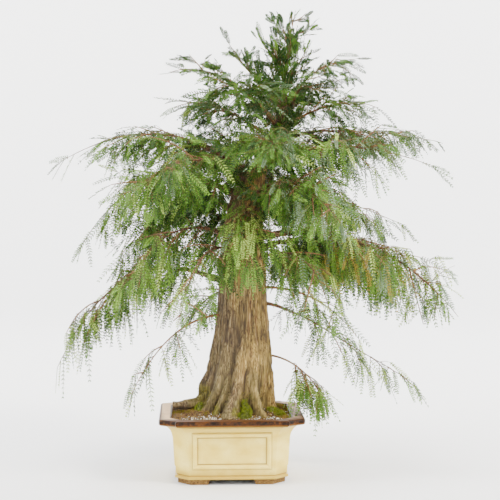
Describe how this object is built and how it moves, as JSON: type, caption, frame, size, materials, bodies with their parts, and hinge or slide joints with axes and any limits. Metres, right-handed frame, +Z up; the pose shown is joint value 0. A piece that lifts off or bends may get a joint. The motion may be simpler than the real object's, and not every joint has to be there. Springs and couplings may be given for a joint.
{
  "type": "potted bald cypress bonsai",
  "caption": "Bald cypress grown as a bonsai: fluted tapering trunk, drooping boughs and feathery foliage, in a glazed rectangular footed pot.",
  "frame": {"origin": "on the surface that the feet stand on, under the middle of the whole tree's box; the pot's own middle lies to the left of it and a little forward", "axes": "+Z up the tree, -Y the front of the pot, +X to the right as seen from the front"},
  "size_m": [1.0636, 0.764, 1.237],
  "materials": {
    "glazed_stoneware": "cream satin glaze, brown where it breaks over the lip",
    "potting_grit": "loose grit, bark and moss",
    "trunk_bark": "fibrous vertical bark",
    "branch_bark": "thin flaking bark",
    "needles": "soft matte needles"
  },
  "bodies": {
    "root": {"pot": "glazed_stoneware", "soil": "potting_grit", "trunk": "trunk_bark", "bough_low_left": "branch_bark", "bough_left_front": "branch_bark", "bough_mid_left": "branch_bark", "bough_mid_left_back": "branch_bark", "bough_upper_left": "branch_bark", "bough_upper_left_front": "branch_bark", "bough_upper_right": "branch_bark", "bough_upper_right_front": "branch_bark", "bough_mid_right": "branch_bark", "bough_mid_right_back": "branch_bark", "bough_low_right": "branch_bark", "bough_low_right_back": "branch_bark", "bough_bottom_right": "branch_bark", "bough_front_right": "branch_bark", "bough_front_left": "branch_bark", "bough_upper_front": "branch_bark", "bough_bottom_back": "branch_bark", "bough_low_back": "branch_bark", "bough_mid_back": "branch_bark", "bough_upper_back": "branch_bark", "bough_crown_top": "branch_bark", "bough_crown_left": "branch_bark", "bough_crown_right": "branch_bark", "foliage_low_left": "needles", "foliage_bottom_left": "needles", "foliage_left_front": "needles", "foliage_mid_left": "needles", "foliage_mid_left_back": "needles", "foliage_upper_left": "needles", "foliage_upper_left_front": "needles", "foliage_top_left_back": "needles", "foliage_top_left": "needles", "foliage_upper_right": "needles", "foliage_upper_right_front": "needles", "foliage_mid_right": "needles", "foliage_mid_right_back": "needles", "foliage_low_right": "needles", "foliage_low_right_back": "needles", "foliage_right_front": "needles", "foliage_bottom_right": "needles", "foliage_bottom_right_near": "needles", "foliage_front_right": "needles", "foliage_front_left": "needles", "foliage_front": "needles", "foliage_upper_front": "needles", "foliage_top_front": "needles", "foliage_bottom_back": "needles", "foliage_low_back": "needles", "foliage_mid_back": "needles", "foliage_upper_back": "needles", "foliage_top_back": "needles", "foliage_top_right": "needles", "foliage_top_front_high": "needles", "foliage_top_back_high": "needles", "foliage_crown_top": "needles", "foliage_crown_left": "needles", "foliage_crown_right": "needles"}
  },
  "joints": []
}
